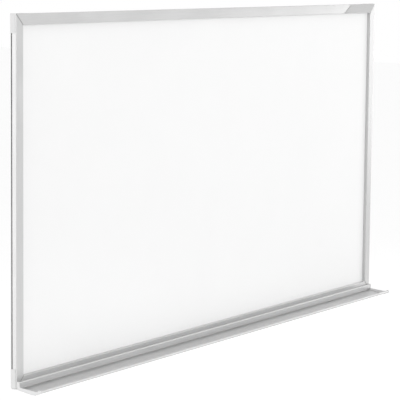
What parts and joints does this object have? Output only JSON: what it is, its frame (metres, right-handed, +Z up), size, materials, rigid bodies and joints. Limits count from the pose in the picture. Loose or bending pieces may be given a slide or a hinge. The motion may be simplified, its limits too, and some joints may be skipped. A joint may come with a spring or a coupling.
{
  "type": "wall-mounted whiteboard",
  "caption": "Framed magnetic whiteboard for a wall, with a full-width pen tray and sliding hangers behind it whose eccentric discs set the level",
  "frame": {"origin": "in the wall plane, at the middle of the four wall screws, which is also the middle of the frame", "axes": "+X to the right along the board, +Y into the wall, +Z up; the writing face looks along -Y"},
  "size_m": [2.0016, 0.1013, 1.0127],
  "materials": {
    "writing_surface": "glossy white vitreous enamel on steel",
    "core_panel": "kraft honeycomb board",
    "backing_sheet": "galvanised steel sheet",
    "anodised_aluminium": "satin anodised, light silver",
    "corner_plastic": "light grey moulded plastic",
    "die_cast_key": "raw die casting",
    "screw_steel": "zinc plated",
    "plate_aluminium": "darker satin grey, blank",
    "tray_aluminium": "satin anodised, light silver",
    "cap_plastic": "light grey moulded plastic",
    "hanger_steel": "zinc plated sheet steel",
    "disc_plastic": "dark grey nylon"
  },
  "bodies": {
    "board": {"writing_surface": "writing_surface", "core_panel": "core_panel", "backing_sheet": "backing_sheet", "top_rail": "anodised_aluminium", "bottom_rail": "anodised_aluminium", "left_stile": "anodised_aluminium", "right_stile": "anodised_aluminium", "corner_cover_bottom_left": "corner_plastic", "corner_cover_bottom_right": "corner_plastic", "corner_cover_top_left": "corner_plastic", "corner_cover_top_right": "corner_plastic", "corner_key_bottom_left": "die_cast_key", "corner_key_bottom_right": "die_cast_key", "corner_key_top_left": "die_cast_key", "corner_key_top_right": "die_cast_key", "corner_screws": "screw_steel", "name_plate": "plate_aluminium"},
    "tray": {"pen_tray": "tray_aluminium", "tray_end_cap_left": "cap_plastic", "tray_end_cap_right": "cap_plastic"},
    "hanger_left_body": {"hanger_left": "hanger_steel"},
    "level_disc_left_body": {"level_disc_left": "disc_plastic"},
    "lower_bracket_left_body": {"lower_bracket_left": "hanger_steel"},
    "hanger_right_body": {"hanger_right": "hanger_steel"},
    "level_disc_right_body": {"level_disc_right": "disc_plastic"},
    "lower_bracket_right_body": {"lower_bracket_right": "hanger_steel"}
  },
  "joints": [
    {"name": "tray_slide", "type": "slide", "parent": "board", "child": "tray", "axis": [1, 0, 0], "range_m": [-0.025, 0.025]},
    {"name": "hanger_left_slide", "type": "slide", "parent": "board", "child": "hanger_left_body", "axis": [1, 0, 0], "range_m": [-0.2, 0.2]},
    {"name": "level_disc_left_turn", "type": "hinge", "parent": "hanger_left_body", "child": "level_disc_left_body", "pos_m": [-0.7, 0, 0.448], "axis": [0, 1, 0], "continuous": true},
    {"name": "lower_bracket_left_slide", "type": "slide", "parent": "board", "child": "lower_bracket_left_body", "axis": [1, 0, 0], "range_m": [-0.2, 0.2]},
    {"name": "hanger_right_slide", "type": "slide", "parent": "board", "child": "hanger_right_body", "axis": [1, 0, 0], "range_m": [-0.2, 0.2]},
    {"name": "level_disc_right_turn", "type": "hinge", "parent": "hanger_right_body", "child": "level_disc_right_body", "pos_m": [0.7, 0, 0.448], "axis": [0, 1, 0], "continuous": true},
    {"name": "lower_bracket_right_slide", "type": "slide", "parent": "board", "child": "lower_bracket_right_body", "axis": [1, 0, 0], "range_m": [-0.2, 0.2]}
  ]
}
